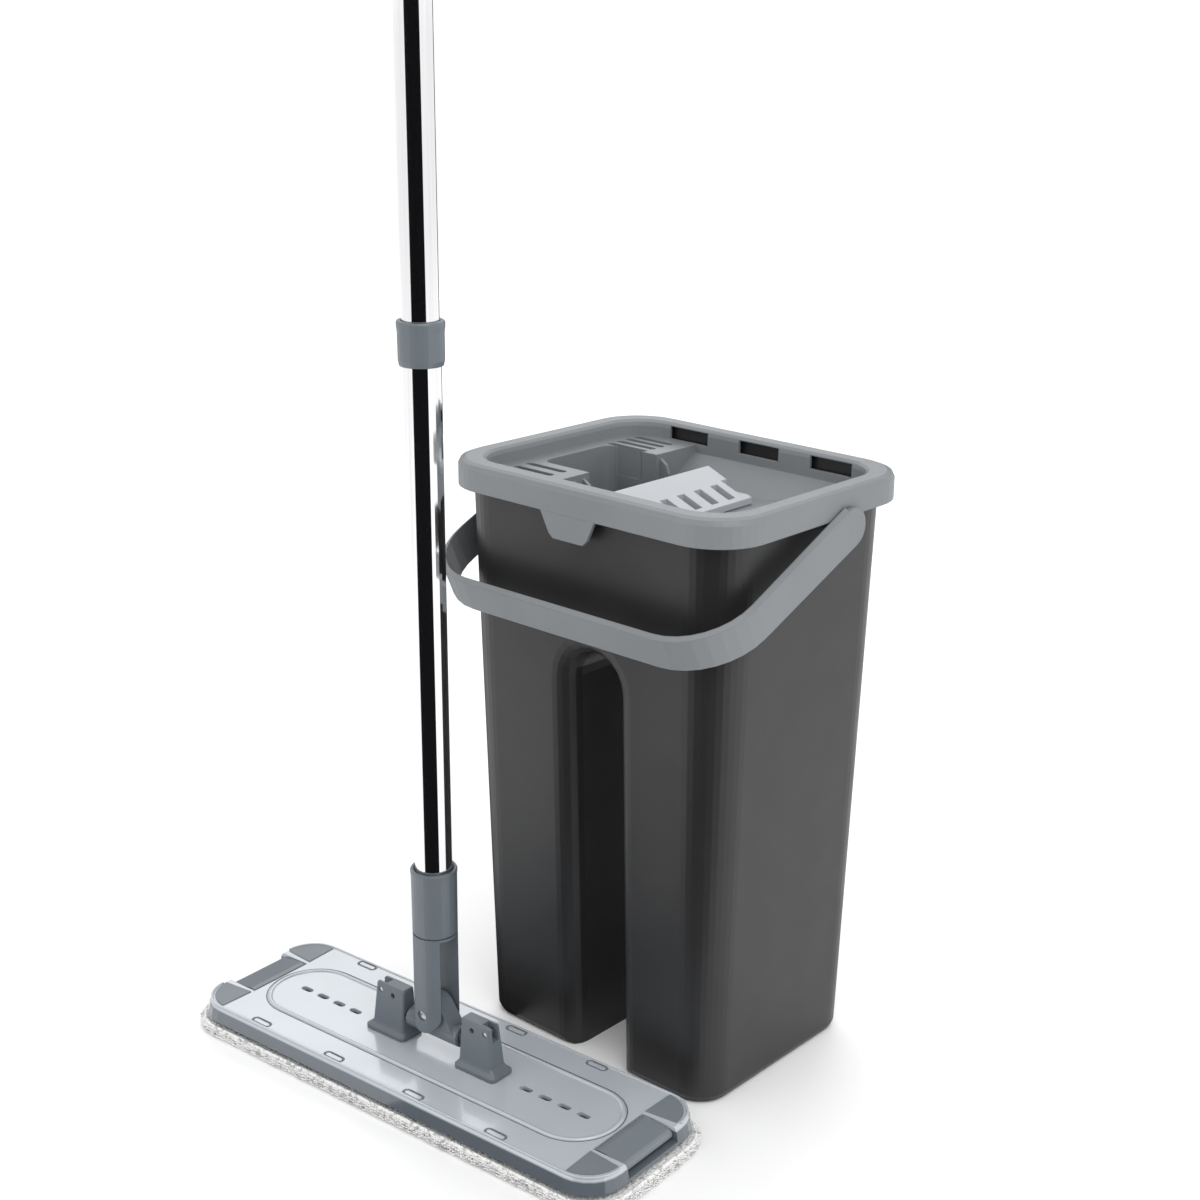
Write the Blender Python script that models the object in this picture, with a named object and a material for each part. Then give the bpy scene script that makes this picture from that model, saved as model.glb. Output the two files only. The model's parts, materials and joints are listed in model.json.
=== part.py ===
"""Flat mop and two-leg bucket with a drop-in wringer tray.

The bucket stands on the floor at z = 0 with its front facing -Y.  The mop stands
beside it, in front, with its pole upright.  All sizes are in metres.
"""
import math

import bmesh
import bpy
from mathutils import Matrix, Vector

# ---------------------------------------------------------------- driving sizes
GAP = 0.0003                    # clearance between two pieces that rest on each other
BUCKET_AT = (0.0540, 0.0641)    # bucket centre, seen from the middle of the whole set
MOP_AT = (0.0000, -0.0913)      # mop head centre
MOP_TURN = math.radians(3.6)    # the head's length against the bucket's front

BUCKET_HEIGHT = 0.380
RIM_SIZE = (0.229, 0.184)       # tray rim, across X and Y
RIM_CORNER = 0.0340
RIM_WIDTH = 0.015
SKIRT_HEIGHT = 0.017
TUB_TOP_SIZE = (0.2125, 0.1680)
TUB_FOOT_SIZE = (0.1910, 0.1475)
TUB_TOP_Z = 0.3774
TUB_WALL = 0.0025
LEG_GAP_X = 0.005               # middle of the gap between the two legs
LEG_GAP_HALF = 0.019
LEG_GAP_TOP = 0.275
LEG_EDGE_ROUND = 0.013

DECK_Z = 0.369                  # top of the tray's raised left deck
BASIN_LOW_Z = 0.350             # top of the draining basin beside the slot
BASIN_HIGH_Z = 0.366            # top of the draining basin at the right wall
SHEET = 0.002                   # wall of the moulded tray
SLOT_X = (-0.048, -0.003)       # slot that takes the mop head
SLOT_Y = (-0.066, 0.050)
NOTCH_X = -0.089                # far side of the notch for the pole joint
NOTCH_Y = (-0.025, 0.038)
SLOT_FLOOR_Z = 0.332            # lower end of the walls around the slot

BAIL_PIVOT = (0.022, 0.357)     # y and z of the bucket handle's axis
BAIL_REACH = 0.1357
BAIL_DROP = math.radians(23.9)  # how far below level the handle rests
BAIL_CORNER = 0.042
BAIL_THICK = 0.0032
BAIL_WIDTH_EYE = 0.028
BAIL_WIDTH_GRIP = 0.024
PIVOT_PIN_R = 0.003             # stubs moulded on the handle's ends

PAD_SIZE = (0.352, 0.111)
PAD_THICK = 0.0070
PLATE_SIZE = (0.341, 0.106)
PLATE_BASE_Z = 0.0086
PLATE_TOP_Z = 0.0206
PLATE_CORNER = 0.024
TOWER_X = (0.024, 0.051)
TOWER_TOP_Z = 0.054
SCREW_X = (0.0300, 0.0480)
YOKE_AXIS_Z = 0.037
FORK_AXIS_Z = 0.050
FORK_R = 0.0138
FORK_SLOT_HALF = 0.0078
CROTCH_Z = 0.101
SLEEVE_Z = (0.1033, 0.1460)
LOWER_TUBE_R = (0.0108, 0.0112)
LOWER_TUBE_Z = (0.112, 0.4740)
COLLAR_Z = (0.4530, 0.4780)
UPPER_TUBE_R = (0.0099, 0.0105)
UPPER_TUBE_Z = (0.4140, 1.1900)
GRIP_Z = (1.0700, 1.1950)
CAP_TOP_Z = 1.2350
CLIP_AXIS = (0.164, 0.0160)     # x and z of a pad clip's hinge
CLIP_HALF_WIDTH = 0.022


# ---------------------------------------------------------------------- helpers
def clear_scene():
    for obj in list(bpy.data.objects):
        bpy.data.objects.remove(obj, do_unlink=True)


def material(name, colour, roughness, metallic=0.0):
    made = bpy.data.materials.new(name)
    made.use_nodes = True
    shader = made.node_tree.nodes["Principled BSDF"]
    shader.inputs["Base Color"].default_value = (*colour, 1.0)
    shader.inputs["Roughness"].default_value = roughness
    shader.inputs["Metallic"].default_value = metallic
    made.diffuse_color = (*colour, 1.0)
    return made


def empty(name, location, turn=0.0, parent=None):
    made = bpy.data.objects.new(name, None)
    made.location = location
    made.rotation_euler = (0.0, 0.0, turn)
    made.parent = parent
    bpy.context.scene.collection.objects.link(made)
    return made


def add(name, bm, finish, parent, origin=(0.0, 0.0, 0.0), smooth=35.0):
    """Make an object of a bmesh given in its parent's frame, with its origin at a point."""
    bmesh.ops.remove_doubles(bm, verts=bm.verts, dist=1e-6)
    bmesh.ops.recalc_face_normals(bm, faces=bm.faces)
    bmesh.ops.translate(bm, verts=bm.verts, vec=-Vector(origin))
    mesh = bpy.data.meshes.new(name)
    bm.to_mesh(mesh)
    bm.free()
    mesh.shade_smooth()
    mesh.set_sharp_from_angle(angle=math.radians(smooth))
    mesh.materials.append(finish)
    obj = bpy.data.objects.new(name, mesh)
    obj.location = origin
    obj.parent = parent
    bpy.context.scene.collection.objects.link(obj)
    return obj


def tool(obj, bm, operation, label):
    """Cut a bmesh from an object, or join it on, by a Boolean modifier."""
    guide = add(f"{obj.name}.{label}", bm, obj.data.materials[0], obj.parent)
    guide.hide_render = True
    guide.display_type = "WIRE"
    step = obj.modifiers.new(label, "BOOLEAN")
    step.operation = operation
    step.solver = "EXACT"
    step.object = guide
    return guide


def cut(obj, bm, label):
    return tool(obj, bm, "DIFFERENCE", label)


def join(obj, bm, label):
    return tool(obj, bm, "UNION", label)


def rounded_rectangle(size, corner, steps=6, centre=(0.0, 0.0)):
    half_x = size[0] / 2 - corner
    half_y = size[1] / 2 - corner
    points = []
    for quarter, (sx, sy) in enumerate(((1, 1), (-1, 1), (-1, -1), (1, -1))):
        for k in range(steps + 1):
            angle = math.radians(90 * (quarter + k / steps))
            points.append((
                centre[0] + sx * half_x + corner * math.cos(angle),
                centre[1] + sy * half_y + corner * math.sin(angle),
            ))
    return points


def loft(sections):
    """Closed solid through rings of points, capped at both ends."""
    bm = bmesh.new()
    rings = [[bm.verts.new(p) for p in ring] for ring in sections]
    count = len(rings[0])
    for low, high in zip(rings, rings[1:]):
        for i in range(count):
            j = (i + 1) % count
            bm.faces.new((low[i], low[j], high[j], high[i]))
    bm.faces.new(rings[0])
    bm.faces.new(rings[-1])
    return bm


def hoop(sections):
    """Closed ring solid: each section is one loop of points, the last meets the first."""
    bm = bmesh.new()
    rings = [[bm.verts.new(p) for p in ring] for ring in sections]
    count = len(rings[0])
    for low, high in zip(rings, rings[1:] + rings[:1]):
        for i in range(count):
            j = (i + 1) % count
            bm.faces.new((low[i], low[j], high[j], high[i]))
    return bm


def level(outline, z):
    return [(x, y, z) for x, y in outline]


def prism(outline, low, high):
    return loft([level(outline, low), level(outline, high)])


def box(x, y, z):
    return prism([(x[0], y[0]), (x[1], y[0]), (x[1], y[1]), (x[0], y[1])], *z)


def side_prism(outline, y):
    """Prism of an outline drawn in X and Z, running along Y."""
    return loft([[(px, at, pz) for px, pz in outline] for at in y])


def along(axis, at, profile, steps=24):
    """Turned solid: a profile of (radius, position) pairs around an axis through a point."""
    def place(radius, position, angle):
        a = radius * math.cos(angle)
        b = radius * math.sin(angle)
        offset = {"X": (position, a, b), "Y": (b, position, a), "Z": (a, b, position)}[axis]
        return tuple(c + o for c, o in zip(at, offset))

    angles = [2 * math.pi * (k + 0.5) / steps for k in range(steps)]
    if profile[0][0] > 0.0:
        return hoop([[place(r, p, angle) for r, p in profile] for angle in angles])
    bm = bmesh.new()
    rings = [[bm.verts.new(place(r, p, angle)) for angle in angles] for r, p in profile[1:-1]]
    for low, high in zip(rings, rings[1:]):
        for i in range(steps):
            j = (i + 1) % steps
            bm.faces.new((low[i], low[j], high[j], high[i]))
    bm.faces.new(rings[0])
    bm.faces.new(rings[-1])
    return bm


def rod(axis, at, radius, low, high, steps=20):
    profile = [(0.0, low), (radius, low), (radius, high), (0.0, high)]
    return along(axis, at, profile, steps)


def stadium(centre, length, width, steps=4):
    return rounded_rectangle((length, width), width / 2 - 1e-5, steps, centre)


def merge(parts):
    """Put several separate solids into one bmesh."""
    whole = bmesh.new()
    for part in parts:
        mesh = bpy.data.meshes.new("scratch")
        part.to_mesh(mesh)
        part.free()
        whole.from_mesh(mesh)
        bpy.data.meshes.remove(mesh)
    return whole


# ----------------------------------------------------------------------- bucket
def tub_outline(z, inset=0.0):
    share = z / TUB_TOP_Z
    size = [foot + (top - foot) * share - 2 * inset for foot, top in zip(TUB_FOOT_SIZE, TUB_TOP_SIZE)]
    corner = 0.021 + 0.008 * share - inset
    return level(rounded_rectangle(size, corner, 10), z)


def leg_gap(extra):
    """The gap between the legs: an arch that flares out to the faces it opens on."""
    depths = [-0.012] + [LEG_EDGE_ROUND * share for share in (0.0, 0.04, 0.15, 0.36, 0.66, 1.0)]
    stations = [(-1, d) for d in depths] + [(1, d) for d in reversed(depths)]
    sections = []
    for side, depth in stations:
        inside = min(max(depth, 0.0), LEG_EDGE_ROUND)
        flare = LEG_EDGE_ROUND - math.sqrt(LEG_EDGE_ROUND**2 - (LEG_EDGE_ROUND - inside)**2)
        half = LEG_GAP_HALF + flare + extra
        centre_z = LEG_GAP_TOP - LEG_GAP_HALF
        outline = [(LEG_GAP_X - half, -0.02), (LEG_GAP_X - half, 0.08), (LEG_GAP_X - half, 0.17)]
        for k in range(11):
            angle = math.pi * (1 - k / 10)
            outline.append((LEG_GAP_X + half * math.cos(angle), centre_z + half * math.sin(angle)))
        outline += [(LEG_GAP_X + half, 0.17), (LEG_GAP_X + half, 0.08), (LEG_GAP_X + half, -0.02)]
        ring = []
        for x, z in outline:
            share = z / TUB_TOP_Z
            face = (TUB_FOOT_SIZE[1] + (TUB_TOP_SIZE[1] - TUB_FOOT_SIZE[1]) * share) / 2
            ring.append((x, side * (face - depth), z))
        sections.append(ring)
    return loft(sections)


def make_tub(finish, parent):
    levels = (0.0, 0.0015, 0.005, 0.12, 0.25, TUB_TOP_Z)
    insets = (0.004, 0.0015, 0.0, 0.0, 0.0, 0.0)
    tub = add("tub", loft([tub_outline(z, i) for z, i in zip(levels, insets)]), finish, parent)
    cut(tub, leg_gap(0.0), "leg_gap")
    floor = TUB_WALL + 0.0005
    inner_levels = (floor, floor + 0.005, 0.12, 0.25, TUB_TOP_Z + 0.01)
    inner_insets = (TUB_WALL + 0.004, TUB_WALL, TUB_WALL, TUB_WALL, TUB_WALL)
    cavity = cut(tub, loft([tub_outline(z, i) for z, i in zip(inner_levels, inner_insets)]), "inside")
    cut(cavity, leg_gap(TUB_WALL), "leg_gap_wall")
    pivot = (0.0, *BAIL_PIVOT)
    for side, label in ((-1, "left"), (1, "right")):
        ends = sorted((side * 0.1045, side * 0.1140))
        join(tub, rod("X", pivot, 0.0050, *ends), f"boss_{label}")
        ends = sorted((side * 0.090, side * 0.120))
        cut(tub, rod("X", pivot, PIVOT_PIN_R + GAP, *ends), f"bore_{label}")
    return tub


def rim_profile(inset, z):
    """One loop of the rim at a distance in from its outer edge."""
    size = [s - 2 * inset for s in RIM_SIZE]
    return level(rounded_rectangle(size, RIM_CORNER - inset / 2, 10), z)


def back_ledge():
    """Cross-section of the slope that brings the basin's floor up to the back wall."""
    foot = BASIN_LOW_Z - 0.0012
    return [(0.0535, foot), (0.0820, BASIN_HIGH_Z + 0.0012), (0.0820, foot)]


def make_tray(finish, parent):
    top = BUCKET_HEIGHT
    skirt = top - SKIRT_HEIGHT
    low = BASIN_LOW_Z - 0.005
    inner = RIM_WIDTH
    rings = [
        rim_profile(0.0, skirt), rim_profile(0.0, top - 0.0040), rim_profile(0.0012, top - 0.0012),
        rim_profile(0.0040, top), rim_profile(inner - 0.0025, top), rim_profile(inner - 0.0006, top - 0.0015),
        rim_profile(inner, top - 0.004), rim_profile(inner + 0.0005, low),
        rim_profile(inner - 0.0015, low), rim_profile(inner - 0.002, top - 0.0022),
        rim_profile(0.0022, top - 0.0022), rim_profile(0.0022, skirt),
    ]
    tray = add("wringer_tray", hoop(rings), finish, parent)
    half_x = RIM_SIZE[0] / 2 - inner + 0.0008
    half_y = RIM_SIZE[1] / 2 - inner + 0.0008
    inside = rounded_rectangle((2 * half_x, 2 * half_y), RIM_CORNER - inner / 2, 10)
    across = (-half_y - 0.01, half_y + 0.01)
    deck = join(tray, box((-half_x - 0.01, SLOT_X[0]), across, (DECK_Z - SHEET, DECK_Z)), "deck")
    tool(deck, prism(inside, 0.300, 0.400), "INTERSECT", "inside")
    drop = (BASIN_LOW_Z - 0.005, DECK_Z - 0.0004)
    join(tray, box((SLOT_X[0] - SHEET, SLOT_X[0]), (-half_y, half_y), drop), "deck_side")
    flat = 0.030
    start = SLOT_X[0] - 0.0008
    basin = [
        (start, BASIN_LOW_Z), (flat, BASIN_LOW_Z), (half_x, BASIN_HIGH_Z),
        (half_x, BASIN_HIGH_Z - SHEET), (flat, BASIN_LOW_Z - SHEET), (start, BASIN_LOW_Z - SHEET),
    ]
    drain = join(tray, side_prism(basin, across), "basin")
    tool(drain, prism(inside, 0.300, 0.400), "INTERSECT", "inside")
    ends = (SLOT_X[0] - 0.001, half_x + 0.01)
    ledge = join(tray, loft([[(x, y, z) for y, z in back_ledge()] for x in ends]), "ledge")
    tool(ledge, prism(inside, 0.300, 0.400), "INTERSECT", "inside")
    wall = SHEET
    join(tray, box((NOTCH_X - wall, SLOT_X[0] - 0.001), (NOTCH_Y[0] - wall, NOTCH_Y[1] + wall),
                   (SLOT_FLOOR_Z, DECK_Z - 0.0006)), "notch_walls")
    join(tray, box((SLOT_X[0] - wall - 0.0003, SLOT_X[1] + wall), (SLOT_Y[0] - wall, SLOT_Y[1] + wall),
                   (SLOT_FLOOR_Z + 0.0005, BASIN_LOW_Z - 0.0005)), "slot_walls")
    slot = ((SLOT_X[0] + SLOT_X[1]) / 2, (SLOT_Y[0] + SLOT_Y[1]) / 2)
    slot_size = (SLOT_X[1] - SLOT_X[0], SLOT_Y[1] - SLOT_Y[0])
    cut(tray, prism(rounded_rectangle(slot_size, 0.004, 3, slot), 0.320, 0.375), "slot")
    notch = ((NOTCH_X - 0.030) / 2, (NOTCH_Y[0] + NOTCH_Y[1]) / 2)
    notch_size = (-0.030 - NOTCH_X, NOTCH_Y[1] - NOTCH_Y[0])
    cut(tray, prism(rounded_rectangle(notch_size, 0.008, 4, notch), 0.319, 0.376), "notch")
    for row, first, pitch in (("front", -0.068, 0.011), ("back", 0.0405, 0.0085)):
        slots = [prism(stadium((-0.0755, first + k * pitch), 0.033, 0.0048), 0.350, 0.372) for k in range(4)]
        cut(tray, merge(slots), f"grille_{row}")
    windows = [box((x - 0.016, x + 0.016), (0.070, 0.0795), (DECK_Z + 0.0004, DECK_Z + 0.0088))
               for x in (-0.054, 0.004, 0.061)]
    cut(tray, merge(windows), "windows")
    tab = [
        (-0.0275, skirt + 0.003), (-0.0245, skirt - 0.001), (-0.0185, skirt - 0.0125),
        (-0.0150, skirt - 0.0155), (0.0085, skirt - 0.0155),
        (0.0118, skirt - 0.0125), (0.0172, skirt - 0.001), (0.0200, skirt + 0.003),
    ]
    face = -RIM_SIZE[1] / 2
    join(tray, side_prism(tab, (face + 0.0001, face + 0.0025)), "tab")
    claw = [(SLOT_X[0] - 0.001, 0.3475), (SLOT_X[0] + 0.0070, 0.350), (SLOT_X[0] + 0.0072, 0.357),
            (SLOT_X[0] + 0.0050, 0.3625), (SLOT_X[0] - 0.001, 0.3665)]
    claws = [side_prism(claw, (y - 0.0012, y + 0.0012)) for y in (-0.059, -0.049, -0.039, -0.030, 0.0425)]
    join(tray, merge(claws), "claws")
    return tray


def make_scraper(finish, parent):
    low = BASIN_LOW_Z + GAP + 0.0002
    wedge = [(-0.0075, 0.3685), (0.0075, 0.3625), (0.0280, 0.3546), (0.0280, low),
             (-0.0005, low), (-0.0005, 0.3565), (-0.0075, 0.3640)]
    ends = (-0.066, 0.041)
    scraper = add("wringer_scraper", side_prism(wedge, ends), finish, parent)
    slots = [box((0.0095, 0.0245), (y - 0.0034, y + 0.0034), (0.340, 0.372))
             for y in (-0.0535 + 0.0158 * k for k in range(6))]
    cut(scraper, merge(slots), "drain_slots")
    cut(scraper, box((0.0075, 0.0300), (0.0355, 0.0430), (0.3560, 0.372)), "end_step")
    return scraper


def make_bail(finish, parent):
    """Strap handle: its path is drawn in the plane of the loop, then laid down on the front."""
    half = RIM_SIZE[0] / 2 + 0.0025
    path = [(half, r, (1.0, 0.0)) for r in (0.0, 0.030, 0.055)]
    corner = (half - BAIL_CORNER, BAIL_REACH - BAIL_CORNER)
    for k in range(9):
        angle = math.radians(90 * k / 8)
        out = (math.cos(angle), math.sin(angle))
        path.append((corner[0] + BAIL_CORNER * out[0], corner[1] + BAIL_CORNER * out[1], out))
    path += [(0.030, BAIL_REACH, (0.0, 1.0))]
    path += [(-x, r, (-out[0], out[1])) for x, r, out in reversed(path)]
    reach = (0.0, -math.cos(BAIL_DROP), -math.sin(BAIL_DROP))
    broad = (0.0, math.sin(BAIL_DROP), -math.cos(BAIL_DROP))
    sections = []
    for x, r, out in path:
        share = min(r / BAIL_REACH, 1.0)
        half_width = (BAIL_WIDTH_EYE + (BAIL_WIDTH_GRIP - BAIL_WIDTH_EYE) * share) / 2
        ring = []
        for thick, wide in ((-1, -1), (1, -0.86), (1, 0.86), (-1, 1)):
            px = x + out[0] * thick * BAIL_THICK / 2
            pr = r + out[1] * thick * BAIL_THICK / 2
            ring.append((
                px,
                BAIL_PIVOT[0] + reach[1] * pr + broad[1] * wide * half_width,
                BAIL_PIVOT[1] + reach[2] * pr + broad[2] * wide * half_width,
            ))
        sections.append(ring)
    pivot = (0.0, *BAIL_PIVOT)
    bail = add("bucket_handle", loft(sections), finish, parent, pivot)
    for side, label in ((-1, "left"), (1, "right")):
        ends = sorted((side * (half - 0.00155), side * (half + 0.00155)))
        join(bail, rod("X", pivot, BAIL_WIDTH_EYE * 0.43, *ends, 28), f"eye_{label}")
        ends = sorted((side * 0.1036, side * half))
        join(bail, rod("X", pivot, PIVOT_PIN_R, *ends), f"stub_{label}")
    return bail


# --------------------------------------------------------------------- mop head
def make_pad(finish, parent):
    levels = (0.0, 0.0010, PAD_THICK - 0.0015, PAD_THICK)
    insets = (0.0030, 0.0006, 0.0, 0.0012)
    rings = [level(rounded_rectangle([s - 2 * i for s in PAD_SIZE], PLATE_CORNER + 0.002 - i, 6), z)
             for z, i in zip(levels, insets)]
    return add("mop_pad", loft(rings), finish, parent)


def make_hook_strip(name, side, finish, parent):
    outline = rounded_rectangle((0.290, 0.016), 0.002, 2, (0.0, side * 0.038))
    return add(name, prism(outline, PAD_THICK + GAP, PLATE_BASE_Z - GAP), finish, parent)


def plate_outline(inset, z):
    size = [s - 2 * inset for s in PLATE_SIZE]
    return level(rounded_rectangle(size, PLATE_CORNER - inset / 2, 6), z)


def make_plate(finish, parent):
    rings = [plate_outline(0.0015, PLATE_BASE_Z), plate_outline(0.0, PLATE_BASE_Z + 0.0015),
             plate_outline(0.0012, PLATE_TOP_Z - 0.0030), plate_outline(0.0026, PLATE_TOP_Z - 0.0006),
             plate_outline(0.0036, PLATE_TOP_Z)]
    plate = add("mop_plate", loft(rings), finish, parent)
    hollow = prism(rounded_rectangle((0.282, 0.052), 0.010, 3), 0.0, PLATE_TOP_Z - 0.0035)
    cut(plate, hollow, "underside")
    slots = [prism(stadium((x, y), 0.0150, 0.0048, 2), 0.0, 0.030)
             for y in (-0.0465, 0.0465) for x in (-0.110, -0.044, 0.024, 0.090)]
    cut(plate, merge(slots), "edge_slots")
    ovals = [prism(stadium((side * (0.073 + 0.0150 * k), 0.0), 0.0095, 0.0042, 2), 0.0, 0.030)
             for side in (-1, 1) for k in range(4)]
    cut(plate, merge(ovals), "drain_ovals")
    for side, label in ((-1, "left"), (1, "right")):
        x = sorted((side * 0.1435, side * 0.180))
        half = CLIP_HALF_WIDTH + 0.0010
        cut(plate, box(x, (-half, half), (0.0118, 0.030)), f"clip_pocket_{label}")
        at = (side * CLIP_AXIS[0], 0.0, CLIP_AXIS[1])
        cut(plate, rod("Y", at, 0.0018, -0.0285, 0.0285, 12), f"clip_bore_{label}")
    screws = [rod("Z", (sx * x, 0.0, 0.0), 0.0017, 0.010, 0.026, 10) for sx in (-1, 1) for x in SCREW_X]
    cut(plate, merge(screws), "screw_bores")
    return plate


def make_clip(name, side, finish, parent):
    x, z = CLIP_AXIS
    inner = 0.1450
    outline = [(inner, PLATE_TOP_Z - 0.0026), (inner, PLATE_TOP_Z - 0.0004),
               (inner + 0.003, PLATE_TOP_Z + 0.0002),
               (x, z + 0.0030), (x + 0.0018, z + 0.0022), (x + 0.0029, z + 0.0006), (x + 0.0029, z - 0.0012),
               (x + 0.0012, z - 0.0028), (x - 0.0016, z - 0.0026), (x - 0.0032, z + 0.0010)]
    half = CLIP_HALF_WIDTH
    clip = add(name, side_prism([(side * px, pz) for px, pz in outline], (-half, half)), finish, parent,
               (side * x, 0.0, z))
    cut(clip, rod("Y", (side * x, 0.0, z), 0.0018, -half - 0.005, half + 0.005, 12), "bore")
    return clip


def make_clip_pin(name, side, finish, parent):
    at = (side * CLIP_AXIS[0], 0.0, CLIP_AXIS[1])
    return add(name, rod("Y", at, 0.0015, -0.0275, 0.0275, 12), finish, parent, at)


def make_tower(name, side, finish, parent):
    def ring(x, half_y, z, corner):
        middle = side * (x[0] + x[1]) / 2
        return level(rounded_rectangle((x[1] - x[0], 2 * half_y), corner, 3, (middle, 0.0)), z)

    foot = (0.0215, 0.0545)
    rings = [ring(foot, 0.0095, PLATE_TOP_Z + GAP, 0.003), ring(foot, 0.0095, 0.0232, 0.003),
             ring((0.0232, 0.0520), 0.0072, 0.0252, 0.002),
             ring((TOWER_X[0], TOWER_X[1] - 0.001), 0.0067, 0.0270, 0.0015),
             ring((TOWER_X[0], 0.0480), 0.0046, TOWER_TOP_Z - 0.001, 0.0015),
             ring((TOWER_X[0] + 0.001, 0.0470), 0.0040, TOWER_TOP_Z, 0.001)]
    tower = add(name, loft(rings), finish, parent)
    ends = sorted((side * 0.015, side * 0.0400))
    cut(tower, rod("X", (0.0, 0.0, YOKE_AXIS_Z), 0.0038, *ends, 16), "yoke_pin_bore")
    cut(tower, rod("Y", (side * 0.0335, 0.0, 0.0480), 0.0017, -0.02, 0.02, 12), "hole")
    x = sorted((side * 0.0405, side * 0.055))
    cut(tower, box(x, (-0.0026, 0.0026), (0.0440, 0.060)), "notch")
    cut(tower, rod("Y", (side * 0.0440, 0.0, 0.0490), 0.0017, -0.02, 0.02, 12), "latch_pin_bore")
    screws = [rod("Z", (side * px, 0.0, 0.0), 0.0017, 0.015, 0.0290, 10) for px in SCREW_X]
    cut(tower, merge(screws), "screw_bores")
    return tower


def make_latch_pin(name, side, finish, parent):
    at = (side * 0.0440, 0.0, 0.0490)
    return add(name, rod("Y", at, 0.0014, -0.0044, 0.0044, 12), finish, parent, at)


def make_tower_screw(name, x, finish, parent):
    """Self-tapping screw, driven up through the plate into a tower."""
    head = PLATE_TOP_Z - 0.0035 - GAP
    profile = [(0.0, head - 0.0018), (0.0026, head - 0.0018), (0.0030, head - 0.0010), (0.0030, head),
               (0.0014, head), (0.0014, 0.0270), (0.0006, 0.0282), (0.0, 0.0282)]
    return add(name, along("Z", (x, 0.0, 0.0), profile, 10), finish, parent)


def make_yoke_pin(name, side, finish, parent):
    ends = sorted((side * 0.0105, side * 0.0390))
    at = (0.0, 0.0, YOKE_AXIS_Z)
    return add(name, rod("X", at, 0.0035, *ends, 16), finish, parent, at)


def make_yoke(finish, parent):
    """Cross-piece: a barrel between the towers with an eye for the fork standing on it."""
    at = (0.0, 0.0, YOKE_AXIS_Z)
    barrel = 0.0210
    yoke = add("swivel_yoke", rod("X", at, 0.0066, -barrel, barrel, 20), finish, parent, at)
    web = [(-0.0185, YOKE_AXIS_Z - 0.002), (0.0185, YOKE_AXIS_Z - 0.002), (0.0185, YOKE_AXIS_Z + 0.003)]
    for k in range(9):
        angle = math.radians(40 + 100 * k / 8)
        web.append((0.0092 * math.cos(angle), FORK_AXIS_Z + 0.0092 * math.sin(angle)))
    web.append((-0.0185, YOKE_AXIS_Z + 0.003))
    join(yoke, side_prism(web, (-0.0062, 0.0062)), "web")
    cut(yoke, rod("Y", (0.0, 0.0, FORK_AXIS_Z), 0.0033, -0.02, 0.02, 16), "eye")
    for side, label in ((-1, "left"), (1, "right")):
        ends = sorted((side * 0.0100, side * 0.030))
        cut(yoke, rod("X", at, 0.0038, *ends, 16), f"bore_{label}")
    return yoke


# ------------------------------------------------------------------------- pole
def make_fork(finish, parent):
    pivot = (0.0, 0.0, FORK_AXIS_Z)
    half = 0.0113
    shoulder = CROTCH_Z + 0.0003
    outline = [(-0.020, CROTCH_Z + 0.020), (-0.020, shoulder), (-half, shoulder), (-half, FORK_AXIS_Z)]
    for k in range(1, 12):
        angle = math.pi * (1 + k / 12)
        outline.append((half * math.cos(angle), FORK_AXIS_Z + half * math.sin(angle)))
    outline += [(half, FORK_AXIS_Z), (half, shoulder), (0.020, shoulder), (0.020, CROTCH_Z + 0.020)]
    blank = rod("Z", (0.0, 0.0, 0.0), FORK_R, 0.030, CROTCH_Z + 0.002, 32)
    fork = add("pole_fork", blank, finish, parent, pivot)
    tool(fork, side_prism(outline, (-0.020, 0.020)), "INTERSECT", "prong_shape")
    join(fork, rod("Z", (0.0, 0.0, 0.0), 0.0101, CROTCH_Z + 0.001, 0.150, 24), "spigot")
    cut(fork, box((-0.03, 0.03), (-FORK_SLOT_HALF, FORK_SLOT_HALF), (0.020, CROTCH_Z)), "slot")
    cut(fork, rod("Y", pivot, 0.0033, -0.03, 0.03, 16), "pin_bore")
    return fork


def make_fork_pin(finish, parent):
    pivot = (0.0, 0.0, FORK_AXIS_Z)
    return add("fork_pin", rod("Y", pivot, 0.0030, -0.0125, 0.0125, 16), finish, parent, pivot)


def make_sleeve(finish, parent):
    low, high = SLEEVE_Z
    profile = [(0.0115, low), (0.0132, low), (0.0138, low + 0.001), (0.0140, high - 0.004),
               (0.0143, high - 0.0010), (0.0138, high), (0.0126, high), (0.0115, high - 0.0015)]
    return add("socket_sleeve", along("Z", (0.0, 0.0, 0.0), profile, 32), finish, parent)


def make_tube(name, radii, ends, finish, parent):
    inner, outer = radii
    low, high = ends
    profile = [(inner, low), (outer, low), (outer, high), (inner, high)]
    return add(name, along("Z", (0.0, 0.0, 0.0), profile, 32), finish, parent)


def make_collar(finish, parent):
    low, high = COLLAR_Z
    lip = LOWER_TUBE_Z[1] + GAP
    bore = LOWER_TUBE_R[1] + GAP
    profile = [(bore, low), (0.0124, low), (0.0131, low + 0.003), (0.0132, high - 0.006),
               (0.0136, high - 0.003), (0.0136, high - 0.001), (0.0130, high), (0.0111, high),
               (0.0109, high - 0.001), (0.0109, lip), (bore, lip)]
    return add("pole_collar", along("Z", (0.0, 0.0, 0.0), profile, 32), finish, parent)


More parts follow.
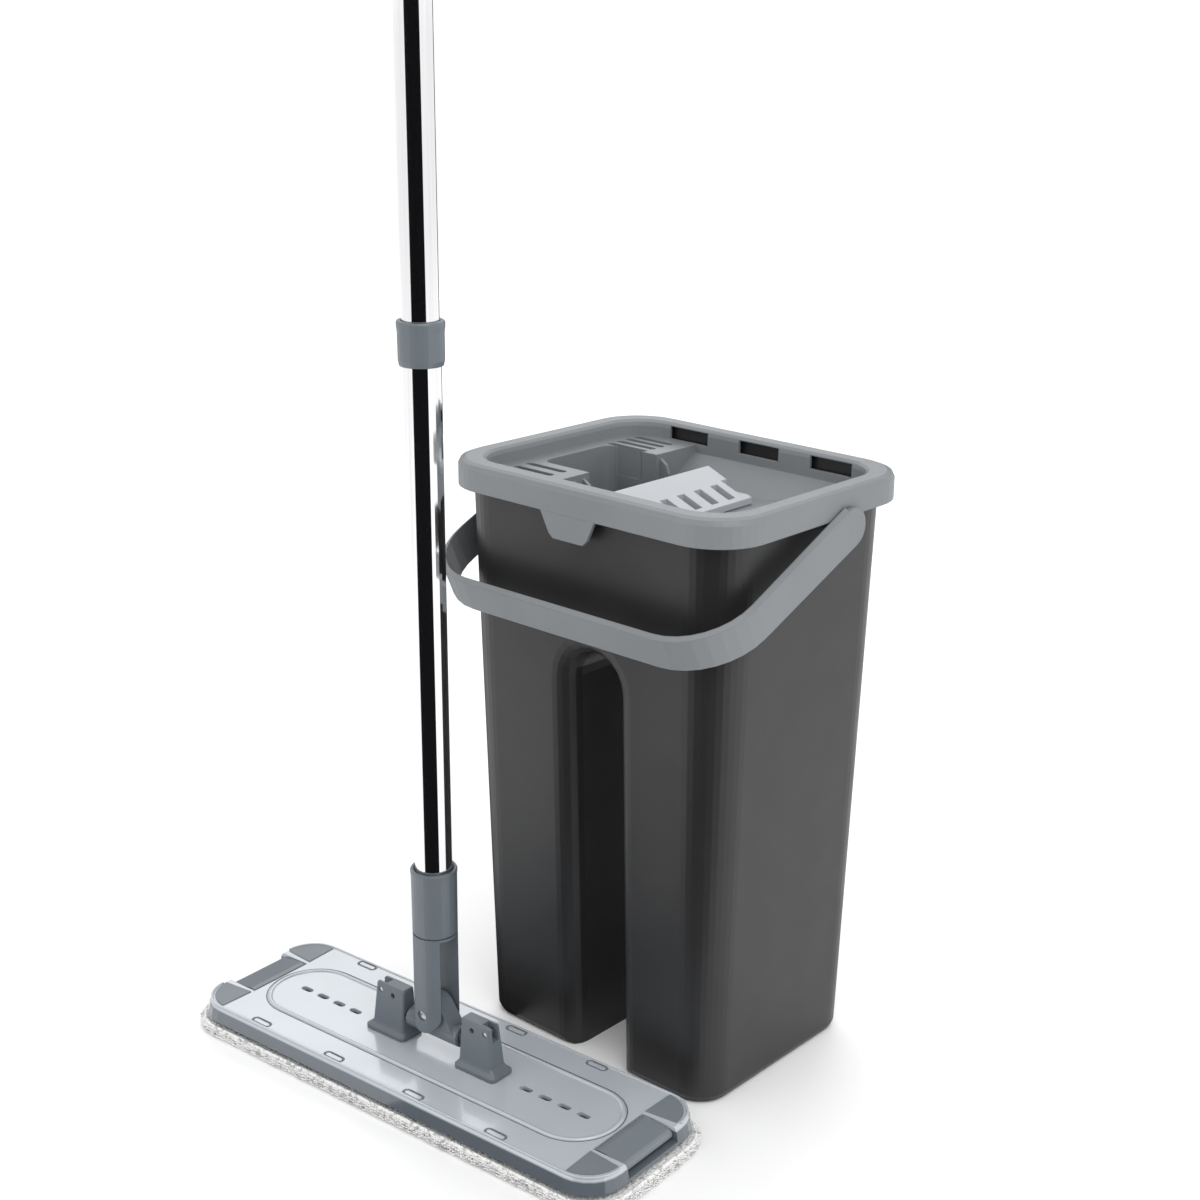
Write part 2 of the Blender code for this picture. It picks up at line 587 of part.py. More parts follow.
def make_lock_plug(finish, parent):
    """Expander on the foot of the upper tube: twisting the pole jams it in the lower tube."""
    foot = UPPER_TUBE_Z[0]
    profile = [(0.0, foot - 0.020), (0.0085, foot - 0.020), (0.0100, foot - 0.017), (0.0100, foot - 0.006),
               (0.0088, foot - 0.004), (0.0100, foot - 0.002), (0.0100, foot - GAP), (0.0094, foot - GAP),
               (0.0094, foot + 0.024), (0.0080, foot + 0.026), (0.0, foot + 0.026)]
    return add("lock_plug", along("Z", (0.0, 0.0, 0.0), profile, 24), finish, parent)


def make_grip(finish, parent):
    low, high = GRIP_Z
    bore = UPPER_TUBE_R[1] + GAP
    profile = [(bore, low), (0.0128, low), (0.0140, low + 0.004), (0.0146, low + 0.045),
               (0.0138, low + 0.085), (0.0146, high - 0.004), (0.0134, high), (bore, high)]
    return add("hand_grip", along("Z", (0.0, 0.0, 0.0), profile, 24), finish, parent)


def make_hang_cap(finish, parent):
    """End cap with a hole to hang the mop by."""
    low = GRIP_Z[1] + GAP
    rings = []
    shape = [(0.0132, 0.0132, low), (0.0134, 0.0134, low + 0.004), (0.0128, 0.0085, low + 0.012),
             (0.0118, 0.0062, low + 0.028), (0.0085, 0.0050, CAP_TOP_Z - 0.003), (0.0050, 0.0034, CAP_TOP_Z)]
    for rx, ry, z in shape:
        angles = [2 * math.pi * (k + 0.5) / 24 for k in range(24)]
        rings.append([(rx * math.cos(a), ry * math.sin(a), z) for a in angles])
    cap = add("hang_cap", loft(rings), finish, parent)
    join(cap, rod("Z", (0.0, 0.0, 0.0), 0.0095, low - 0.025, low + 0.002, 20), "plug")
    hole = prism(stadium((0.0, 0.0), 0.0150, 0.0100, 5), -0.02, 0.02)
    quarter = math.pi / 2
    turn = Matrix.Rotation(quarter, 4, "X") @ Matrix.Rotation(quarter, 4, "Z")
    turn = Matrix.Translation((0.0, 0.0, low + 0.0205)) @ turn
    bmesh.ops.transform(hole, matrix=turn, verts=hole.verts)
    cut(cap, hole, "hole")
    return cap


def main():
    clear_scene()
    black = material("black_plastic", (0.030, 0.031, 0.033), 0.42)
    grey = material("grey_plastic", (0.30, 0.32, 0.335), 0.45)
    pale = material("pale_plastic", (0.60, 0.63, 0.66), 0.40)
    slate = material("slate_plastic", (0.095, 0.115, 0.135), 0.35)
    silver = material("plate_plastic", (0.42, 0.47, 0.52), 0.25)
    steel = material("polished_steel", (0.75, 0.75, 0.76), 0.08, 1.0)
    fibre = material("microfibre", (0.72, 0.72, 0.71), 0.95)
    hook = material("hook_tape", (0.05, 0.05, 0.055), 0.9)
    foam = material("grip_rubber", (0.06, 0.065, 0.07), 0.75)

    bucket = empty("bucket_origin", (*BUCKET_AT, 0.0))
    make_tub(black, bucket)
    make_tray(grey, bucket)
    make_scraper(pale, bucket)
    make_bail(grey, bucket)
    mop = empty("mop_origin", (*MOP_AT, 0.0), MOP_TURN)
    make_pad(fibre, mop)
    make_hook_strip("hook_strip_front", -1, hook, mop)
    make_hook_strip("hook_strip_back", 1, hook, mop)
    make_plate(silver, mop)
    for side, label in ((-1, "left"), (1, "right")):
        make_clip(f"pad_clip_{label}", side, slate, mop)
        make_clip_pin(f"clip_pin_{label}", side, steel, mop)
        make_tower(f"hinge_tower_{label}", side, slate, mop)
        make_latch_pin(f"latch_pin_{label}", side, steel, mop)
        make_yoke_pin(f"yoke_pin_{label}", side, steel, mop)
        make_tower_screw(f"tower_screw_inner_{label}", side * SCREW_X[0], steel, mop)
        make_tower_screw(f"tower_screw_outer_{label}", side * SCREW_X[1], steel, mop)
    make_yoke(slate, mop)
    make_fork(slate, mop)
    make_fork_pin(steel, mop)
    make_sleeve(slate, mop)
    make_tube("lower_tube", LOWER_TUBE_R, LOWER_TUBE_Z, steel, mop)
    make_collar(slate, mop)
    make_lock_plug(slate, mop)
    make_tube("upper_tube", UPPER_TUBE_R, UPPER_TUBE_Z, steel, mop)
    make_grip(foam, mop)
    make_hang_cap(slate, mop)


main()
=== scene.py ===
"""Looks for the flat mop and bucket: camera, light, materials and the fine pieces."""
import json
import math

import bmesh
import bpy
from mathutils import Matrix, Vector, noise


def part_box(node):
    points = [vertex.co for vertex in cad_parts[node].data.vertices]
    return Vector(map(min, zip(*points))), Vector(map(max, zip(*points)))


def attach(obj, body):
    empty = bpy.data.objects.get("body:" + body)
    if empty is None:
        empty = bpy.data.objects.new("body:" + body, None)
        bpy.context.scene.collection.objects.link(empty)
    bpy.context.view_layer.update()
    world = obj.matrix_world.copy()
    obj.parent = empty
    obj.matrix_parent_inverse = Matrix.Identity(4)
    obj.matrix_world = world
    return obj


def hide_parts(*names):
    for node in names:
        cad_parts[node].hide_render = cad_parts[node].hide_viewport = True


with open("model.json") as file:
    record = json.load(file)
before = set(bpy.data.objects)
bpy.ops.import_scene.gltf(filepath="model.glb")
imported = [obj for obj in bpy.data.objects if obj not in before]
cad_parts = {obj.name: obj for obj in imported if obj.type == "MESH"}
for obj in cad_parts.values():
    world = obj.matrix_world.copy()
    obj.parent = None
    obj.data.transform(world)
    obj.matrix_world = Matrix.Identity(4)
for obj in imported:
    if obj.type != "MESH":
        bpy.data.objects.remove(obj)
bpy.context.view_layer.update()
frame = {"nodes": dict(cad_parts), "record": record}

# ---------------------------------------------------------------- places and sizes
BUCKET_AT = Vector((0.0540, 0.0641, 0.0))
MOP_AT = Vector((0.0, -0.0913, 0.0))
MOP_TURN = math.radians(3.6)
MOP_FRAME = Matrix.Translation(MOP_AT) @ Matrix.Rotation(MOP_TURN, 4, "Z")
PAD_SIZE = (0.352, 0.111)
PAD_TOP = 0.0078
PLATE_SIZE = (0.341, 0.106)
PLATE_CORNER = 0.024
PLATE_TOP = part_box("mop_plate")[1][2]
SLATE_FULL_DEPTH = 0.0030
SLATE_END_DEPTH = 0.0020
PANEL_SIZE = (0.280, 0.056)
PANEL_CORNER = 0.0275
PANEL_LINE_SIZE = (0.2845, 0.0605)
PANEL_LINE_CORNER = 0.0298
OUTLINE_SPACING = 0.004
EDGE_RIDGE_INSET = 0.0060
SLOT_ROW_Y = 0.0465
SLOT_XS = (-0.110, -0.044, 0.024, 0.090)
SLOT_LINE_SIZE = (0.0156, 0.0054)
SLOT_BAR_SIZE = (0.0132, 0.0032)
CLIP_INNER_X = 0.1425
CLIP_HALF = 0.0250
FACET_INSET = 0.0092
FACET_INNER_X = 0.1440
FACET_INNER_Y = CLIP_HALF + 0.0005
GRIP_RADIUS = 0.0140
GRIP_RIBS = 14

CAD_SHARP_ANGLE = math.radians(32)
PIECE_SHARP_ANGLE = math.radians(40)

CAMERA_AT = BUCKET_AT + Vector((0.7261, -0.8577, 0.6599))
CAMERA_YAW = math.radians(39.74)
CAMERA_PITCH = math.radians(18.16)
CAMERA_ROLL = math.radians(1.2)
CAMERA_LENS = 56.93
CAMERA_SHIFT = -0.0741

WORLD_STRENGTH = 1.08
FLOOR_SIZE = 30.0
CARD_REACH = 3.0
CARD_HEIGHT = 3.0
CARD_NEAR = 0.06

# Sockets of a Mix node that blends colours.
MIX_FIRST_COLOUR = 6
MIX_SECOND_COLOUR = 7
MIX_COLOUR_RESULT = 2


# ----------------------------------------------------------------------- materials
def new_material(name):
    """A material with its nodes, its links and its main shader."""
    made = bpy.data.materials.new(name)
    made.use_nodes = True
    return made, made.node_tree.nodes, made.node_tree.links, made.node_tree.nodes["Principled BSDF"]


def noise_node(nodes, links, scale, detail, stretch=(1.0, 1.0, 1.0)):
    place = nodes.new("ShaderNodeTexCoord")
    mapping = nodes.new("ShaderNodeMapping")
    mapping.inputs["Scale"].default_value = stretch
    texture = nodes.new("ShaderNodeTexNoise")
    texture.inputs["Scale"].default_value = scale
    texture.inputs["Detail"].default_value = detail
    links.new(place.outputs["Object"], mapping.inputs["Vector"])
    links.new(mapping.outputs["Vector"], texture.inputs["Vector"])
    return texture


def ramp(nodes, links, source, low, high, colours):
    made = nodes.new("ShaderNodeValToRGB")
    for stop, position, colour in zip(made.color_ramp.elements, (low, high), colours):
        stop.position = position
        stop.color = (*colour, 1.0)
    links.new(source, made.inputs["Fac"])
    return made.outputs["Color"]


def spread(nodes, links, source, low, high):
    made = nodes.new("ShaderNodeMapRange")
    made.inputs["To Min"].default_value = low
    made.inputs["To Max"].default_value = high
    links.new(source, made.inputs["Value"])
    return made.outputs["Result"]


def scaled(colour, factor):
    return tuple(min(c * factor, 1.0) for c in colour)


def bump(nodes, links, height, strength, distance, normal=None):
    made = nodes.new("ShaderNodeBump")
    made.inputs["Strength"].default_value = strength
    made.inputs["Distance"].default_value = distance
    links.new(height, made.inputs["Height"])
    if normal is not None:
        links.new(normal, made.inputs["Normal"])
    return made.outputs["Normal"]


def plastic(name, colour, roughness, grain, edge, coat=0.0, metallic=0.0):
    """Moulded plastic: a fine spark grain, slow colour drift and softly rounded edges."""
    made, nodes, links, shader = new_material(name)
    drift = noise_node(nodes, links, 9.0, 3.0)
    shades = (scaled(colour, 0.93), scaled(colour, 1.06))
    tint = ramp(nodes, links, drift.outputs["Fac"], 0.3, 0.7, shades)
    links.new(tint, shader.inputs["Base Color"])
    wear = noise_node(nodes, links, 45.0, 5.0)
    worn = spread(nodes, links, wear.outputs["Fac"], roughness - 0.06, roughness + 0.08)
    links.new(worn, shader.inputs["Roughness"])
    rounding = nodes.new("ShaderNodeBevel")
    rounding.samples = 4
    rounding.inputs["Radius"].default_value = edge
    fine = noise_node(nodes, links, 1800.0, 2.0)
    relief = bump(nodes, links, fine.outputs["Fac"], grain, 0.0002, rounding.outputs["Normal"])
    links.new(relief, shader.inputs["Normal"])
    shader.inputs["Coat Weight"].default_value = coat
    shader.inputs["Coat Roughness"].default_value = 0.08
    shader.inputs["Metallic"].default_value = metallic
    return made


def plate_with_painted_sheen(name):
    """Glossy slate plastic all over, with a painted silvery-blue sheen on its top that turns slate below the
    plate's upper edge.
    """
    # Painted sheen: this light colour stands in for the glare on the plate's top; the plate's own colour is
    # the slate mixed in below.
    painted_sheen_colour = (0.47, 0.505, 0.545)
    made = plastic(name, painted_sheen_colour, roughness=0.20, grain=0.10, edge=0.0009, coat=0.6, metallic=0.1)
    nodes = made.node_tree.nodes
    links = made.node_tree.links
    shader = nodes["Principled BSDF"]
    painted_sheen_tint = shader.inputs["Base Color"].links[0].from_socket
    place = nodes.new("ShaderNodeTexCoord")
    split = nodes.new("ShaderNodeSeparateXYZ")
    links.new(place.outputs["Object"], split.inputs["Vector"])
    # Mask of the painted sheen: full on the plate's top, none a few millimetres below it.
    height = nodes.new("ShaderNodeMapRange")
    height.inputs["From Min"].default_value = PLATE_TOP - SLATE_FULL_DEPTH
    height.inputs["From Max"].default_value = PLATE_TOP - SLATE_END_DEPTH
    links.new(split.outputs["Z"], height.inputs["Value"])
    blend = nodes.new("ShaderNodeMix")
    blend.data_type = "RGBA"
    blend.inputs[MIX_FIRST_COLOUR].default_value = (0.105, 0.125, 0.145, 1.0)
    links.new(height.outputs["Result"], blend.inputs["Factor"])
    links.new(painted_sheen_tint, blend.inputs[MIX_SECOND_COLOUR])
    links.new(blend.outputs[MIX_COLOUR_RESULT], shader.inputs["Base Color"])
    return made


def steel(name, roughness):
    """Bright chromed tube with faint drawing lines along its length."""
    made, nodes, links, shader = new_material(name)
    shader.inputs["Metallic"].default_value = 1.0
    lines = noise_node(nodes, links, 900.0, 3.0, (1.0, 1.0, 0.01))
    shades = ((0.80, 0.80, 0.81), (0.90, 0.90, 0.91))
    tint = ramp(nodes, links, lines.outputs["Fac"], 0.3, 0.7, shades)
    links.new(tint, shader.inputs["Base Color"])
    drawn = spread(nodes, links, lines.outputs["Fac"], roughness * 0.6, roughness * 1.5)
    links.new(drawn, shader.inputs["Roughness"])
    return made


def microfibre(name):
    """Looped pile: white with grey loops mixed in, and a soft sheen."""
    made, nodes, links, shader = new_material(name)
    tufts = noise_node(nodes, links, 330.0, 4.0)
    shades = ((0.46, 0.47, 0.47), (0.88, 0.88, 0.87))
    tint = ramp(nodes, links, tufts.outputs["Fac"], 0.36, 0.50, shades)
    links.new(tint, shader.inputs["Base Color"])
    cells = nodes.new("ShaderNodeTexVoronoi")
    cells.inputs["Scale"].default_value = 620.0
    place = nodes.new("ShaderNodeTexCoord")
    links.new(place.outputs["Object"], cells.inputs["Vector"])
    links.new(bump(nodes, links, cells.outputs["Distance"], 0.9, 0.0010), shader.inputs["Normal"])
    shader.inputs["Roughness"].default_value = 0.95
    shader.inputs["Sheen Weight"].default_value = 0.5
    shader.inputs["Sheen Roughness"].default_value = 0.4
    return made


def make_materials():
    """One material for each slot in the record, and one more for the end clips."""
    black = (0.017, 0.017, 0.018)
    grey = (0.190, 0.203, 0.214)
    pale = (0.40, 0.42, 0.44)
    slate = (0.120, 0.142, 0.162)
    tape = (0.03, 0.03, 0.033)
    rubber = (0.055, 0.060, 0.066)
    clip = (0.165, 0.19, 0.21)
    return {
        "black_plastic": plastic("tub_black", black, roughness=0.40, grain=0.25, edge=0.0012),
        "grey_plastic": plastic("tray_grey", grey, roughness=0.42, grain=0.20, edge=0.0009),
        "pale_plastic": plastic("scraper_pale", pale, roughness=0.40, grain=0.18, edge=0.0008),
        "slate_plastic": plastic("joint_slate", slate, roughness=0.34, grain=0.15, edge=0.0007),
        "plate_plastic": plate_with_painted_sheen("plate_painted_sheen"),
        "polished_steel": steel("polished_steel", 0.06),
        "microfibre": microfibre("microfibre_pile"),
        "hook_tape": plastic("hook_tape_black", tape, roughness=0.85, grain=1.0, edge=0.0003),
        "grip_rubber": plastic("grip_dark", rubber, roughness=0.62, grain=0.8, edge=0.0008),
        "clip_slate": plastic("clip_slate", clip, roughness=0.32, grain=0.12, edge=0.0007),
    }


def finish_nodes(made):
    """Each CAD piece takes its slot's material, and its sharp edges stay sharp."""
    for part in frame["record"]["subparts"]:
        look = made[part["material_slot"]]
        if part["node"].startswith("pad_clip"):
            look = made["clip_slate"]
        mesh = frame["nodes"][part["node"]].data
        mesh.materials.clear()
        mesh.materials.append(look)
        mesh.shade_smooth()
        mesh.set_sharp_from_angle(angle=CAD_SHARP_ANGLE)


# ---------------------------------------------------------------------- mesh pieces
def rounded_rectangle(size, corner, steps=8):
    """Points of a rectangle with round corners, centred on the origin, from its right end round."""
    points = []
    for quarter, (sx, sy) in enumerate(((1, 1), (-1, 1), (-1, -1), (1, -1))):
        for k in range(steps + 1):
            angle = math.radians(90 * (quarter + k / steps))
            points.append(Vector((
                sx * (size[0] / 2 - corner) + corner * math.cos(angle),
                sy * (size[1] / 2 - corner) + corner * math.sin(angle),
                0.0,
            )))
    return points


def evenly(points, spacing):
    """Points along a closed outline, about one spacing apart."""
    result = []
    for start, end in zip(points, points[1:] + points[:1]):
        count = max(1, round((end - start).length / spacing))
        result += [start.lerp(end, k / count) for k in range(count)]
    return result


def object_from(name, bm, look):
    """An object in the scene made from bm, which is freed."""
    mesh = bpy.data.meshes.new(name)
    bm.to_mesh(mesh)
    bm.free()
    mesh.materials.append(look)
    made = bpy.data.objects.new(name, mesh)
    bpy.context.scene.collection.objects.link(made)
    return made


def add_piece(name, bm, look, body):
    """A visible piece drawn in the mop's own frame, riding on a body."""
    bmesh.ops.recalc_face_normals(bm, faces=bm.faces)
    bmesh.ops.transform(bm, matrix=MOP_FRAME, verts=bm.verts)
    piece = object_from(name, bm, look)
    piece.data.shade_smooth()
    piece.data.set_sharp_from_angle(angle=PIECE_SHARP_ANGLE)
    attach(piece, body)
    return piece


def bridge(bm, rings, closed=False):
    """Faces from each ring to the next, and from the last back to the first where closed."""
    count = len(rings[0])
    following = rings[1:] + rings[:1] if closed else rings[1:]
    for low, high in zip(rings, following):
        for i in range(count):
            j = (i + 1) % count
            bm.faces.new((low[i], low[j], high[j], high[i]))


def bridge_and_cap(bm, rings):
    bridge(bm, rings)
    bm.faces.new(rings[0])
    bm.faces.new(rings[-1])


def pad_outward(point):
    """The level direction from the pad's middle to a point, its length and width evened out."""
    return Vector((point.x / PAD_SIZE[0], point.y / PAD_SIZE[1], 0.0)).normalized()


def pad_body(bm):
    """The pile's body: a closed form, level underneath, rounded and uneven at its edge."""
    edge = evenly(rounded_rectangle(PAD_SIZE, PLATE_CORNER + 0.003, 8), 0.0022)
    profile = [(0.80, 0.0), (0.93, 0.0), (0.975, 0.0004), (0.993, 0.0019), (0.998, 0.0040),
               (0.990, 0.0060), (0.972, 0.0072), (0.94, 0.0066), (0.80, 0.0062)]
    rings = []
    for share, z in profile:
        inset = (1.0 - share) * PAD_SIZE[1] / 2
        ring = []
        for point in edge:
            out = pad_outward(point)
            base = point - out * inset
            wobble = noise.noise(Vector((base.x * 160, base.y * 160, z * 260)))
            lift = 0.0 if z == 0.0 else 0.0004 * wobble
            shift = out * (0.0007 * wobble - 0.0010)
            ring.append(bm.verts.new(base + shift + Vector((0, 0, z + lift))))
        rings.append(ring)
    bridge_and_cap(bm, rings)


def pad_tufts(bm):
    """Short loops of yarn round the edge, each a bent tube of its own size and lean."""
    size = (PAD_SIZE[0] - 0.003, PAD_SIZE[1] - 0.003)
    edge = evenly(rounded_rectangle(size, PLATE_CORNER + 0.002, 8), 0.0021)
    for row, height in enumerate((0.0016, 0.0034, 0.0052)):
        for index, point in enumerate(edge):
            chance = noise.cell_vector(Vector((index + 0.5, row + 0.5, 0.5)))
            out = pad_outward(point)
            side = Vector((-out.y, out.x, 0.0))
            reach = 0.0016 + 0.0010 * chance.x
            width = 0.0008 + 0.0004 * chance.y
            base = point + Vector((0, 0, height + 0.0006 * chance.z))
            lean = Vector((0, 0, 0.0010 * (chance.y - 0.4)))
            rings = []
            for k in range(6):
                angle = math.pi * k / 5
                across = side * (width * math.cos(angle))
                centre = base + across + (out * reach + lean) * math.sin(angle)
                around = side * math.cos(angle) + out * math.sin(angle)
                turns = [2 * math.pi * n / 5 for n in range(5)]
                rings.append([
                    bm.verts.new(centre + 0.00042 * (around * math.cos(t) + Vector((0, 0, math.sin(t)))))
                    for t in turns
                ])
            bridge_and_cap(bm, rings)


def make_pad(made):
    """The pad's pile and tufts as one piece, kept between the floor and the pad's top."""
    bm = bmesh.new()
    pad_body(bm)
    pad_tufts(bm)
    for vert in bm.verts:
        vert.co.z = min(max(vert.co.z, 0.0), PAD_TOP)
    pad = add_piece("microfibre_pad", bm, made["microfibre"], "mop_head")
    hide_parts("mop_pad")


def raised_loop(outline, width, height):
    """A low rounded ridge along a closed outline on top of the plate."""
    bm = bmesh.new()
    half = [(0.15, 1.0), (0.36, 0.7), (0.5, 0.0), (0.5, -0.4)]
    profile = [(-w, h) for w, h in reversed(half)] + half
    rings = []
    count = len(outline)
    for i, point in enumerate(outline):
        along = (outline[(i + 1) % count] - outline[i - 1]).normalized()
        out = Vector((along.y, -along.x, 0.0))
        spots = [point + out * (w * width) + Vector((0, 0, PLATE_TOP + h * height)) for w, h in profile]
        rings.append([bm.verts.new(spot) for spot in spots])
    bridge(bm, rings, closed=True)
    return bm


def make_plate_details(made):
    """The ridge round the raised panel, and the ridge along the plate's edge."""
    panel = evenly(rounded_rectangle(PANEL_SIZE, PANEL_CORNER, 10), OUTLINE_SPACING)
    look = made["plate_plastic"]
    ridge = raised_loop(panel, 0.0030, 0.0009)
    add_piece("plate_panel_ridge", ridge, look, "mop_head")
    size = (PLATE_SIZE[0] - EDGE_RIDGE_INSET, PLATE_SIZE[1] - EDGE_RIDGE_INSET)
    lip = evenly(rounded_rectangle(size, PLATE_CORNER - 0.003, 8), OUTLINE_SPACING)
    kept = [p for p in lip if abs(p.x) < CLIP_INNER_X or abs(p.y) > CLIP_HALF]
    add_piece("plate_edge_ridge", open_ridges(kept), look, "mop_head")


def open_ridges(points):
    """Two low ridges: the outline's front and back runs, which stop beside the end clips."""
    bm = bmesh.new()
    profile = [(-0.5, 0.0), (-0.3, 0.8), (0.3, 0.8), (0.5, 0.0), (0.5, -0.5), (-0.5, -0.5)]
    for side in (-1, 1):
        run = [p for p in points if side * p.y > 0]
        run.sort(key=lambda p: math.atan2(p.x, abs(p.y)))
        rings = []
        for i, point in enumerate(run):
            along = (run[min(i + 1, len(run) - 1)] - run[max(i - 1, 0)]).normalized()
            out = Vector((along.y, -along.x, 0.0))
            rings.append([
                bm.verts.new(point + out * (w * 0.0016) + Vector((0, 0, PLATE_TOP + h * 0.0008)))
                for w, h in profile
            ])
        bridge_and_cap(bm, rings)
    return bm


def make_panel_line(made):
    """Thin dark line round the raised panel, where it meets the plate."""
    outline = rounded_rectangle(PANEL_LINE_SIZE, PANEL_LINE_CORNER, 10)
    bm = raised_loop(evenly(outline, OUTLINE_SPACING), 0.0008, 0.0002)
    add_piece("plate_panel_line", bm, made["slate_plastic"], "mop_head")


def edge_slots():
    """The middles of the plate's edge slots."""
    return [(x, y) for y in (-SLOT_ROW_Y, SLOT_ROW_Y) for x in SLOT_XS]


def make_slot_lines(made):
    """Dark line round each edge slot."""
    for index, (x, y) in enumerate(edge_slots()):
        outline = evenly(rounded_rectangle(SLOT_LINE_SIZE, 0.0025, 5), 0.0015)
        bm = raised_loop([p + Vector((x, y, 0.0)) for p in outline], 0.0007, 0.0003)
        add_piece(f"slot_line_{index}", bm, made["slate_plastic"], "mop_head")


def make_slot_bars(made):
    """Bars in the plate's material, pale on top from its painted sheen, that fill the plate's edge slots,
    leaving a dark gap round each.
    """
    bm = bmesh.new()
    for x, y in edge_slots():
        outline = rounded_rectangle(SLOT_BAR_SIZE, 0.0014, 4)
        low = [bm.verts.new(p + Vector((x, y, PLATE_TOP - 0.0040))) for p in outline]
        edge = [bm.verts.new(p + Vector((x, y, PLATE_TOP - 0.0003))) for p in outline]
        high = [bm.verts.new(p * 0.97 + Vector((x, y, PLATE_TOP))) for p in outline]
        bridge_and_cap(bm, [low, edge, high])
    add_piece("slot_bars", bm, made["plate_plastic"], "mop_head")


def make_corner_facets(made):
    """Thin level dark plates at the corners, either side of each end clip."""
    size = (PLATE_SIZE[0] - FACET_INSET, PLATE_SIZE[1] - FACET_INSET)
    outline = evenly(rounded_rectangle(size, PLATE_CORNER - 0.003, 10), 0.003)
    for end, end_name in ((-1, "left"), (1, "right")):
        for side, side_name in ((-1, "front"), (1, "back")):
            rim = [p for p in outline if end * p.x > FACET_INNER_X and side * p.y > FACET_INNER_Y]
            rim.sort(key=lambda p: math.atan2(side * p.y - CLIP_HALF, end * p.x - FACET_INNER_X))
            loop = [Vector((end * FACET_INNER_X, side * FACET_INNER_Y, 0.0))] + rim
            bm = bmesh.new()
            low = [bm.verts.new(p + Vector((0, 0, PLATE_TOP - 0.0008))) for p in loop]
            high = [bm.verts.new(p + Vector((0, 0, PLATE_TOP + 0.0005))) for p in loop]
            bridge_and_cap(bm, [low, high])
            name = f"corner_facet_{side_name}_{end_name}"
            add_piece(name, bm, made["clip_slate"], "mop_head")


def make_grip_rings(made):
    """Evenly spaced ribs round the hand grip."""
    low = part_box("hand_grip")[0][2]
    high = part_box("hand_grip")[1][2]
    bm = bmesh.new()
    turns = [2 * math.pi * k / 48 for k in range(48)]
    circle = [Vector((GRIP_RADIUS * math.cos(t), GRIP_RADIUS * math.sin(t), 0.0)) for t in turns]
    section = [2 * math.pi * n / 8 for n in range(8)]
    for index in range(GRIP_RIBS):
        z = low + (high - low) * (0.12 + 0.76 * index / (GRIP_RIBS - 1))
        rings = []
        for point in circle:
            out = point.normalized()
            rings.append([
                bm.verts.new(point + out * (0.0009 * math.cos(t)) + Vector((0, 0, z + 0.0014 * math.sin(t))))
                for t in section
            ])
        bridge(bm, rings, closed=True)
    add_piece("grip_ribs", bm, made["grip_rubber"], "pole_upper")


# ------------------------------------------------------------------- camera and light
def make_camera():
    """A camera aimed by yaw and pitch, then rolled a little about its own view direction."""
    forward = Vector((
        -math.sin(CAMERA_YAW) * math.cos(CAMERA_PITCH),
        math.cos(CAMERA_YAW) * math.cos(CAMERA_PITCH),
        -math.sin(CAMERA_PITCH),
    ))
    right = Vector((math.cos(CAMERA_YAW), math.sin(CAMERA_YAW), 0.0))
    up = right.cross(forward)
    rolled_right = right * math.cos(CAMERA_ROLL) + up * math.sin(CAMERA_ROLL)
    rolled_up = up * math.cos(CAMERA_ROLL) - right * math.sin(CAMERA_ROLL)
    data = bpy.data.cameras.new("camera")
    data.lens = CAMERA_LENS
    data.shift_x = CAMERA_SHIFT
    camera = bpy.data.objects.new("camera", data)
    turn = Matrix((rolled_right, rolled_up, -forward)).transposed().to_4x4()
    camera.matrix_world = Matrix.Translation(CAMERA_AT) @ turn
    bpy.context.scene.collection.objects.link(camera)
    bpy.context.scene.camera = camera


def make_floor():
    """A wide pale floor with barely visible clouds of tone."""
    bm = bmesh.new()
    bmesh.ops.create_grid(bm, x_segments=8, y_segments=8, size=FLOOR_SIZE)
    made, nodes, links, shader = new_material("pale_floor")
    clouds = noise_node(nodes, links, 3.0, 2.0)
    tones = ((0.925, 0.925, 0.925), (0.935, 0.935, 0.935))
    links.new(ramp(nodes, links, clouds.outputs["Fac"], 0.3, 0.7, tones), shader.inputs["Base Color"])
    shader.inputs["Roughness"].default_value = 0.6
    floor = object_from("floor", bm, made)


def make_world():
    """Plain white surroundings."""
    world = bpy.data.worlds.new("studio")
    world.use_nodes = True
    back = world.node_tree.nodes["Background"]
    back.inputs["Color"].default_value = (1.0, 1.0, 1.0, 1.0)
    back.inputs["Strength"].default_value = WORLD_STRENGTH
    bpy.context.scene.world = world


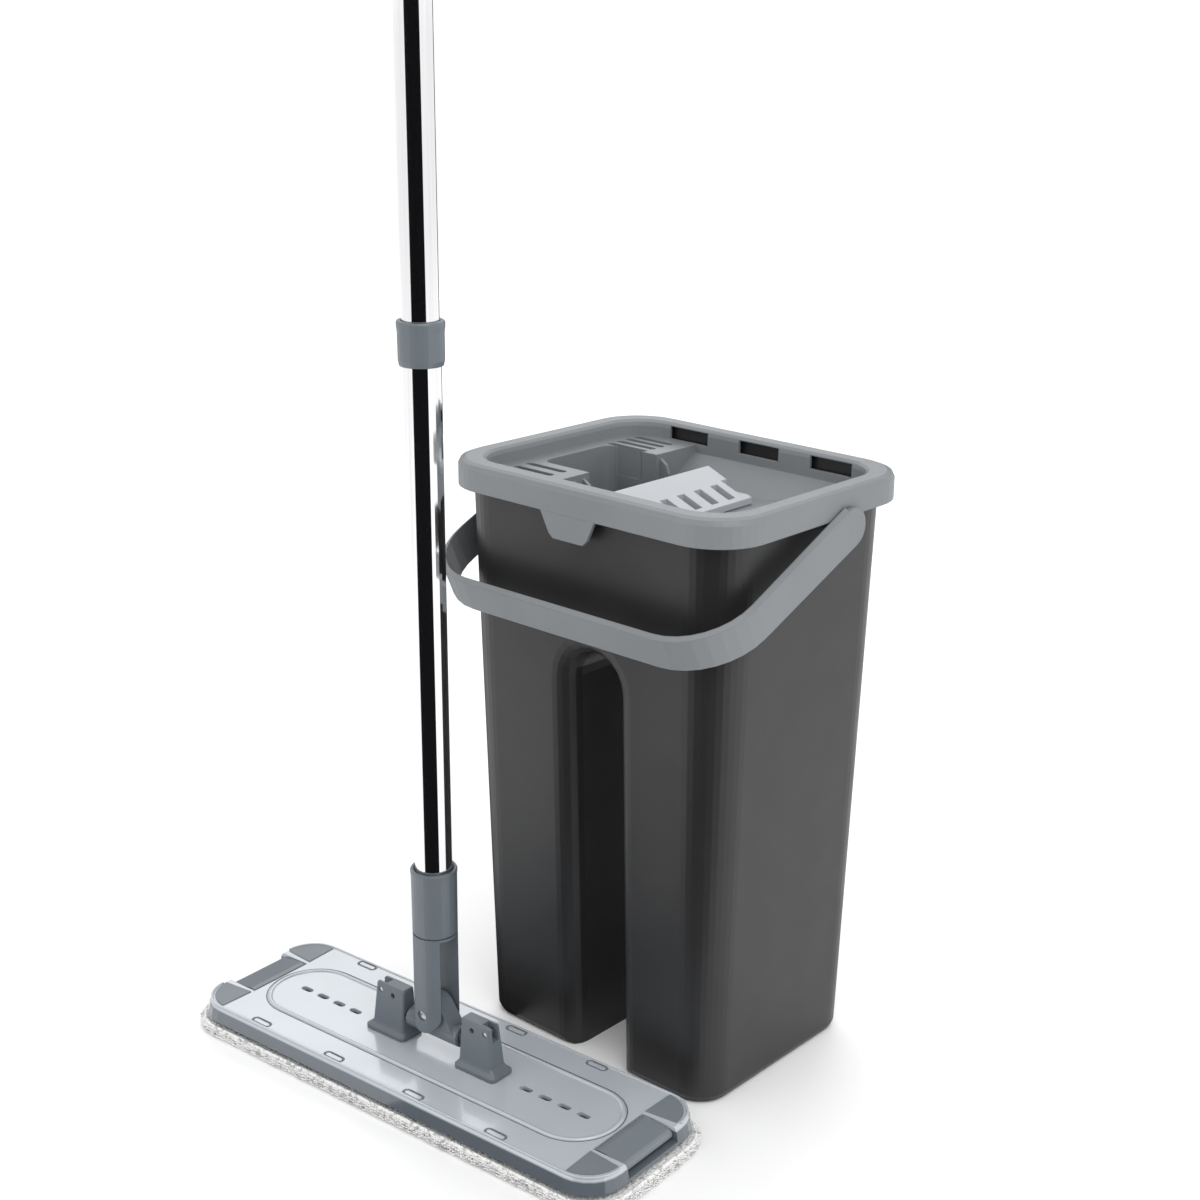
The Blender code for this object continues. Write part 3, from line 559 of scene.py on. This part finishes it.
def make_reflection_card(name, heading, half_angle):
    """A black card that only reflections see: a sector of the floor with a wall at its far edge."""
    bm = bmesh.new()
    steps = 12
    sections = []
    for k in range(steps + 1):
        angle = heading + half_angle * (2 * k / steps - 1)
        out = Vector((math.cos(angle), math.sin(angle), 0.0))
        lift = Vector((0.0, 0.0, 0.002))
        far = MOP_AT + out * CARD_REACH
        top = far + Vector((0.0, 0.0, CARD_HEIGHT))
        stops = (MOP_AT + out * CARD_NEAR + lift, far + lift, top)
        sections.append([bm.verts.new(stop) for stop in stops])
    for left, right in zip(sections, sections[1:]):
        for k in range(2):
            bm.faces.new((left[k], right[k], right[k + 1], left[k + 1]))
    made, _, _, shader = new_material(name)
    shader.inputs["Base Color"].default_value = (0.006, 0.006, 0.007, 1.0)
    shader.inputs["Roughness"].default_value = 1.0
    shader.inputs["Specular IOR Level"].default_value = 0.0
    card = object_from(name, bm, made)
    card.visible_camera = False
    card.visible_diffuse = False
    card.visible_shadow = False
    card.visible_transmission = False


def make_light(name, place, aim, size, power):
    """A soft rectangular lamp pointed at a spot."""
    data = bpy.data.lights.new(name, "AREA")
    data.shape = "RECTANGLE"
    data.size = size[0]
    data.size_y = size[1]
    data.energy = power
    light = bpy.data.objects.new(name, data)
    light.location = place
    light.rotation_euler = (Vector(aim) - Vector(place)).to_track_quat("-Z", "Y").to_euler()
    bpy.context.scene.collection.objects.link(light)


def main():
    bpy.context.scene.view_settings.view_transform = "Standard"
    made = make_materials()
    finish_nodes(made)
    make_pad(made)
    make_plate_details(made)
    make_panel_line(made)
    make_slot_lines(made)
    make_slot_bars(made)
    make_corner_facets(made)
    make_grip_rings(made)
    make_camera()
    make_floor()
    make_world()
    towards_camera = CAMERA_YAW - math.pi / 2
    make_reflection_card("dark_card_front", towards_camera, math.radians(42))
    make_reflection_card("dark_card_back", towards_camera + math.pi, math.radians(30))
    make_light("key", (1.5, -0.6, 2.0), (0.0, 0.0, 0.2), (1.4, 1.4), 16.0)
    make_light("back_soft", (-1.6, 1.9, 1.8), (0.0, -0.05, 0.1), (2.2, 1.6), 24.0)


main()
